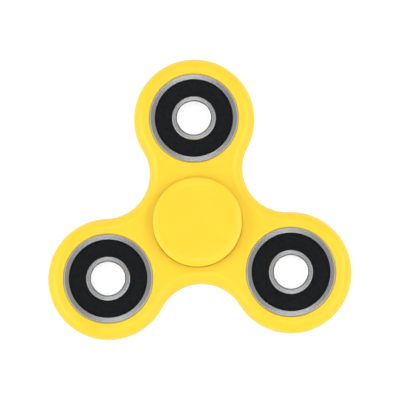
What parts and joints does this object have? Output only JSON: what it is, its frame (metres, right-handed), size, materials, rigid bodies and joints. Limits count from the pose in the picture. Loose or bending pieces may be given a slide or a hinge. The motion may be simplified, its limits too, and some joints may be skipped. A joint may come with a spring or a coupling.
{
  "type": "fidget spinner",
  "caption": "Hand-held finger spinner: a lobed moulded body with a sealed ball bearing in each lobe, turning on a hub bearing between round finger caps.",
  "frame": {"origin": "centre of the hub bearing, halfway through the body's thickness, which is the whole spinner's centre of mass", "axes": "+Z along the spin axis towards the upper finger cap, +Y towards lobe 1, +X to its right, between lobes 2 and 3"},
  "size_m": [0.075, 0.069, 0.0136],
  "materials": {
    "body_plastic": "satin moulded ABS",
    "cap_plastic": "satin moulded ABS",
    "ring_steel": "turned and ground bearing steel",
    "ball_steel": "polished bearing steel",
    "cage_steel": "pressed sheet steel",
    "seal_rubber": "satin moulded rubber"
  },
  "bodies": {
    "hub": {"top_finger_cap": "cap_plastic", "bottom_finger_cap": "cap_plastic", "hub_inner_ring": "ring_steel"},
    "spinner": {"spinner_body": "body_plastic", "hub_outer_ring": "ring_steel", "hub_top_seal": "seal_rubber", "hub_bottom_seal": "seal_rubber", "lobe_1_outer_ring": "ring_steel", "lobe_1_top_seal": "seal_rubber", "lobe_1_bottom_seal": "seal_rubber", "lobe_2_outer_ring": "ring_steel", "lobe_2_top_seal": "seal_rubber", "lobe_2_bottom_seal": "seal_rubber", "lobe_3_outer_ring": "ring_steel", "lobe_3_top_seal": "seal_rubber", "lobe_3_bottom_seal": "seal_rubber"},
    "lobe_1_inner": {"lobe_1_inner_ring": "ring_steel"},
    "lobe_2_inner": {"lobe_2_inner_ring": "ring_steel"},
    "lobe_3_inner": {"lobe_3_inner_ring": "ring_steel"},
    "hub_cage": {"hub_ball_cage": "cage_steel"},
    "lobe_1_cage": {"lobe_1_ball_cage": "cage_steel"},
    "lobe_2_cage": {"lobe_2_ball_cage": "cage_steel"},
    "lobe_3_cage": {"lobe_3_ball_cage": "cage_steel"},
    "hub_ball_1": {"hub_ball_1": "ball_steel"},
    "hub_ball_2": {"hub_ball_2": "ball_steel"},
    "hub_ball_3": {"hub_ball_3": "ball_steel"},
    "hub_ball_4": {"hub_ball_4": "ball_steel"},
    "hub_ball_5": {"hub_ball_5": "ball_steel"},
    "hub_ball_6": {"hub_ball_6": "ball_steel"},
    "hub_ball_7": {"hub_ball_7": "ball_steel"},
    "lobe_1_ball_1": {"lobe_1_ball_1": "ball_steel"},
    "lobe_1_ball_2": {"lobe_1_ball_2": "ball_steel"},
    "lobe_1_ball_3": {"lobe_1_ball_3": "ball_steel"},
    "lobe_1_ball_4": {"lobe_1_ball_4": "ball_steel"},
    "lobe_1_ball_5": {"lobe_1_ball_5": "ball_steel"},
    "lobe_1_ball_6": {"lobe_1_ball_6": "ball_steel"},
    "lobe_1_ball_7": {"lobe_1_ball_7": "ball_steel"},
    "lobe_2_ball_1": {"lobe_2_ball_1": "ball_steel"},
    "lobe_2_ball_2": {"lobe_2_ball_2": "ball_steel"},
    "lobe_2_ball_3": {"lobe_2_ball_3": "ball_steel"},
    "lobe_2_ball_4": {"lobe_2_ball_4": "ball_steel"},
    "lobe_2_ball_5": {"lobe_2_ball_5": "ball_steel"},
    "lobe_2_ball_6": {"lobe_2_ball_6": "ball_steel"},
    "lobe_2_ball_7": {"lobe_2_ball_7": "ball_steel"},
    "lobe_3_ball_1": {"lobe_3_ball_1": "ball_steel"},
    "lobe_3_ball_2": {"lobe_3_ball_2": "ball_steel"},
    "lobe_3_ball_3": {"lobe_3_ball_3": "ball_steel"},
    "lobe_3_ball_4": {"lobe_3_ball_4": "ball_steel"},
    "lobe_3_ball_5": {"lobe_3_ball_5": "ball_steel"},
    "lobe_3_ball_6": {"lobe_3_ball_6": "ball_steel"},
    "lobe_3_ball_7": {"lobe_3_ball_7": "ball_steel"}
  },
  "joints": [
    {"name": "spin", "type": "hinge", "parent": "hub", "child": "spinner", "pos_m": [0, 0, 0], "axis": [0, 0, 1], "continuous": true},
    {"name": "lobe_1_bearing", "type": "hinge", "parent": "spinner", "child": "lobe_1_inner", "pos_m": [0, 0.026, 0], "axis": [0, 0, 1], "continuous": true},
    {"name": "lobe_2_bearing", "type": "hinge", "parent": "spinner", "child": "lobe_2_inner", "pos_m": [-0.02252, -0.013, 0], "axis": [0, 0, 1], "continuous": true},
    {"name": "lobe_3_bearing", "type": "hinge", "parent": "spinner", "child": "lobe_3_inner", "pos_m": [0.02252, -0.013, 0], "axis": [0, 0, 1], "continuous": true},
    {"name": "hub_cage_turn", "type": "hinge", "parent": "hub", "child": "hub_cage", "pos_m": [0, 0, 0], "axis": [0, 0, 1], "continuous": true},
    {"name": "hub_ball_1_roll", "type": "hinge", "parent": "hub_cage", "child": "hub_ball_1", "pos_m": [0.0075, 0, 0], "axis": [0, 0, 1], "continuous": true},
    {"name": "hub_ball_2_roll", "type": "hinge", "parent": "hub_cage", "child": "hub_ball_2", "pos_m": [0.00468, 0.00586, 0], "axis": [0, 0, 1], "continuous": true},
    {"name": "hub_ball_3_roll", "type": "hinge", "parent": "hub_cage", "child": "hub_ball_3", "pos_m": [-0.00167, 0.00731, 0], "axis": [0, 0, 1], "continuous": true},
    {"name": "hub_ball_4_roll", "type": "hinge", "parent": "hub_cage", "child": "hub_ball_4", "pos_m": [-0.00676, 0.00325, 0], "axis": [0, 0, 1], "continuous": true},
    {"name": "hub_ball_5_roll", "type": "hinge", "parent": "hub_cage", "child": "hub_ball_5", "pos_m": [-0.00676, -0.00325, 0], "axis": [0, 0, 1], "continuous": true},
    {"name": "hub_ball_6_roll", "type": "hinge", "parent": "hub_cage", "child": "hub_ball_6", "pos_m": [-0.00167, -0.00731, 0], "axis": [0, 0, 1], "continuous": true},
    {"name": "hub_ball_7_roll", "type": "hinge", "parent": "hub_cage", "child": "hub_ball_7", "pos_m": [0.00468, -0.00586, 0], "axis": [0, 0, 1], "continuous": true},
    {"name": "lobe_1_cage_turn", "type": "hinge", "parent": "spinner", "child": "lobe_1_cage", "pos_m": [0, 0.026, 0], "axis": [0, 0, 1], "continuous": true},
    {"name": "lobe_1_ball_1_roll", "type": "hinge", "parent": "lobe_1_cage", "child": "lobe_1_ball_1", "pos_m": [0.0075, 0.026, 0], "axis": [0, 0, 1], "continuous": true},
    {"name": "lobe_1_ball_2_roll", "type": "hinge", "parent": "lobe_1_cage", "child": "lobe_1_ball_2", "pos_m": [0.00468, 0.03186, 0], "axis": [0, 0, 1], "continuous": true},
    {"name": "lobe_1_ball_3_roll", "type": "hinge", "parent": "lobe_1_cage", "child": "lobe_1_ball_3", "pos_m": [-0.00167, 0.03331, 0], "axis": [0, 0, 1], "continuous": true},
    {"name": "lobe_1_ball_4_roll", "type": "hinge", "parent": "lobe_1_cage", "child": "lobe_1_ball_4", "pos_m": [-0.00676, 0.02925, 0], "axis": [0, 0, 1], "continuous": true},
    {"name": "lobe_1_ball_5_roll", "type": "hinge", "parent": "lobe_1_cage", "child": "lobe_1_ball_5", "pos_m": [-0.00676, 0.02275, 0], "axis": [0, 0, 1], "continuous": true},
    {"name": "lobe_1_ball_6_roll", "type": "hinge", "parent": "lobe_1_cage", "child": "lobe_1_ball_6", "pos_m": [-0.00167, 0.01869, 0], "axis": [0, 0, 1], "continuous": true},
    {"name": "lobe_1_ball_7_roll", "type": "hinge", "parent": "lobe_1_cage", "child": "lobe_1_ball_7", "pos_m": [0.00468, 0.02014, 0], "axis": [0, 0, 1], "continuous": true},
    {"name": "lobe_2_cage_turn", "type": "hinge", "parent": "spinner", "child": "lobe_2_cage", "pos_m": [-0.02252, -0.013, 0], "axis": [0, 0, 1], "continuous": true},
    {"name": "lobe_2_ball_1_roll", "type": "hinge", "parent": "lobe_2_cage", "child": "lobe_2_ball_1", "pos_m": [-0.01502, -0.013, 0], "axis": [0, 0, 1], "continuous": true},
    {"name": "lobe_2_ball_2_roll", "type": "hinge", "parent": "lobe_2_cage", "child": "lobe_2_ball_2", "pos_m": [-0.01784, -0.00714, 0], "axis": [0, 0, 1], "continuous": true},
    {"name": "lobe_2_ball_3_roll", "type": "hinge", "parent": "lobe_2_cage", "child": "lobe_2_ball_3", "pos_m": [-0.02419, -0.00569, 0], "axis": [0, 0, 1], "continuous": true},
    {"name": "lobe_2_ball_4_roll", "type": "hinge", "parent": "lobe_2_cage", "child": "lobe_2_ball_4", "pos_m": [-0.02927, -0.00975, 0], "axis": [0, 0, 1], "continuous": true},
    {"name": "lobe_2_ball_5_roll", "type": "hinge", "parent": "lobe_2_cage", "child": "lobe_2_ball_5", "pos_m": [-0.02927, -0.01625, 0], "axis": [0, 0, 1], "continuous": true},
    {"name": "lobe_2_ball_6_roll", "type": "hinge", "parent": "lobe_2_cage", "child": "lobe_2_ball_6", "pos_m": [-0.02419, -0.02031, 0], "axis": [0, 0, 1], "continuous": true},
    {"name": "lobe_2_ball_7_roll", "type": "hinge", "parent": "lobe_2_cage", "child": "lobe_2_ball_7", "pos_m": [-0.01784, -0.01886, 0], "axis": [0, 0, 1], "continuous": true},
    {"name": "lobe_3_cage_turn", "type": "hinge", "parent": "spinner", "child": "lobe_3_cage", "pos_m": [0.02252, -0.013, 0], "axis": [0, 0, 1], "continuous": true},
    {"name": "lobe_3_ball_1_roll", "type": "hinge", "parent": "lobe_3_cage", "child": "lobe_3_ball_1", "pos_m": [0.03002, -0.013, 0], "axis": [0, 0, 1], "continuous": true},
    {"name": "lobe_3_ball_2_roll", "type": "hinge", "parent": "lobe_3_cage", "child": "lobe_3_ball_2", "pos_m": [0.02719, -0.00714, 0], "axis": [0, 0, 1], "continuous": true},
    {"name": "lobe_3_ball_3_roll", "type": "hinge", "parent": "lobe_3_cage", "child": "lobe_3_ball_3", "pos_m": [0.02085, -0.00569, 0], "axis": [0, 0, 1], "continuous": true},
    {"name": "lobe_3_ball_4_roll", "type": "hinge", "parent": "lobe_3_cage", "child": "lobe_3_ball_4", "pos_m": [0.01576, -0.00975, 0], "axis": [0, 0, 1], "continuous": true},
    {"name": "lobe_3_ball_5_roll", "type": "hinge", "parent": "lobe_3_cage", "child": "lobe_3_ball_5", "pos_m": [0.01576, -0.01625, 0], "axis": [0, 0, 1], "continuous": true},
    {"name": "lobe_3_ball_6_roll", "type": "hinge", "parent": "lobe_3_cage", "child": "lobe_3_ball_6", "pos_m": [0.02085, -0.02031, 0], "axis": [0, 0, 1], "continuous": true},
    {"name": "lobe_3_ball_7_roll", "type": "hinge", "parent": "lobe_3_cage", "child": "lobe_3_ball_7", "pos_m": [0.02719, -0.01886, 0], "axis": [0, 0, 1], "continuous": true}
  ],
  "couplings": [
    {"joint": "hub_cage_turn", "follows": "spin", "ratio": 0.6323},
    {"joint": "hub_ball_1_roll", "follows": "spin", "ratio": 1.7573},
    {"joint": "hub_ball_2_roll", "follows": "spin", "ratio": 1.7573},
    {"joint": "hub_ball_3_roll", "follows": "spin", "ratio": 1.7573},
    {"joint": "hub_ball_4_roll", "follows": "spin", "ratio": 1.7573},
    {"joint": "hub_ball_5_roll", "follows": "spin", "ratio": 1.7573},
    {"joint": "hub_ball_6_roll", "follows": "spin", "ratio": 1.7573},
    {"joint": "hub_ball_7_roll", "follows": "spin", "ratio": 1.7573},
    {"joint": "lobe_1_cage_turn", "follows": "lobe_1_bearing", "ratio": 0.3677},
    {"joint": "lobe_1_ball_1_roll", "follows": "lobe_1_bearing", "ratio": -1.7573},
    {"joint": "lobe_1_ball_2_roll", "follows": "lobe_1_bearing", "ratio": -1.7573},
    {"joint": "lobe_1_ball_3_roll", "follows": "lobe_1_bearing", "ratio": -1.7573},
    {"joint": "lobe_1_ball_4_roll", "follows": "lobe_1_bearing", "ratio": -1.7573},
    {"joint": "lobe_1_ball_5_roll", "follows": "lobe_1_bearing", "ratio": -1.7573},
    {"joint": "lobe_1_ball_6_roll", "follows": "lobe_1_bearing", "ratio": -1.7573},
    {"joint": "lobe_1_ball_7_roll", "follows": "lobe_1_bearing", "ratio": -1.7573},
    {"joint": "lobe_2_cage_turn", "follows": "lobe_2_bearing", "ratio": 0.3677},
    {"joint": "lobe_2_ball_1_roll", "follows": "lobe_2_bearing", "ratio": -1.7573},
    {"joint": "lobe_2_ball_2_roll", "follows": "lobe_2_bearing", "ratio": -1.7573},
    {"joint": "lobe_2_ball_3_roll", "follows": "lobe_2_bearing", "ratio": -1.7573},
    {"joint": "lobe_2_ball_4_roll", "follows": "lobe_2_bearing", "ratio": -1.7573},
    {"joint": "lobe_2_ball_5_roll", "follows": "lobe_2_bearing", "ratio": -1.7573},
    {"joint": "lobe_2_ball_6_roll", "follows": "lobe_2_bearing", "ratio": -1.7573},
    {"joint": "lobe_2_ball_7_roll", "follows": "lobe_2_bearing", "ratio": -1.7573},
    {"joint": "lobe_3_cage_turn", "follows": "lobe_3_bearing", "ratio": 0.3677},
    {"joint": "lobe_3_ball_1_roll", "follows": "lobe_3_bearing", "ratio": -1.7573},
    {"joint": "lobe_3_ball_2_roll", "follows": "lobe_3_bearing", "ratio": -1.7573},
    {"joint": "lobe_3_ball_3_roll", "follows": "lobe_3_bearing", "ratio": -1.7573},
    {"joint": "lobe_3_ball_4_roll", "follows": "lobe_3_bearing", "ratio": -1.7573},
    {"joint": "lobe_3_ball_5_roll", "follows": "lobe_3_bearing", "ratio": -1.7573},
    {"joint": "lobe_3_ball_6_roll", "follows": "lobe_3_bearing", "ratio": -1.7573},
    {"joint": "lobe_3_ball_7_roll", "follows": "lobe_3_bearing", "ratio": -1.7573}
  ]
}
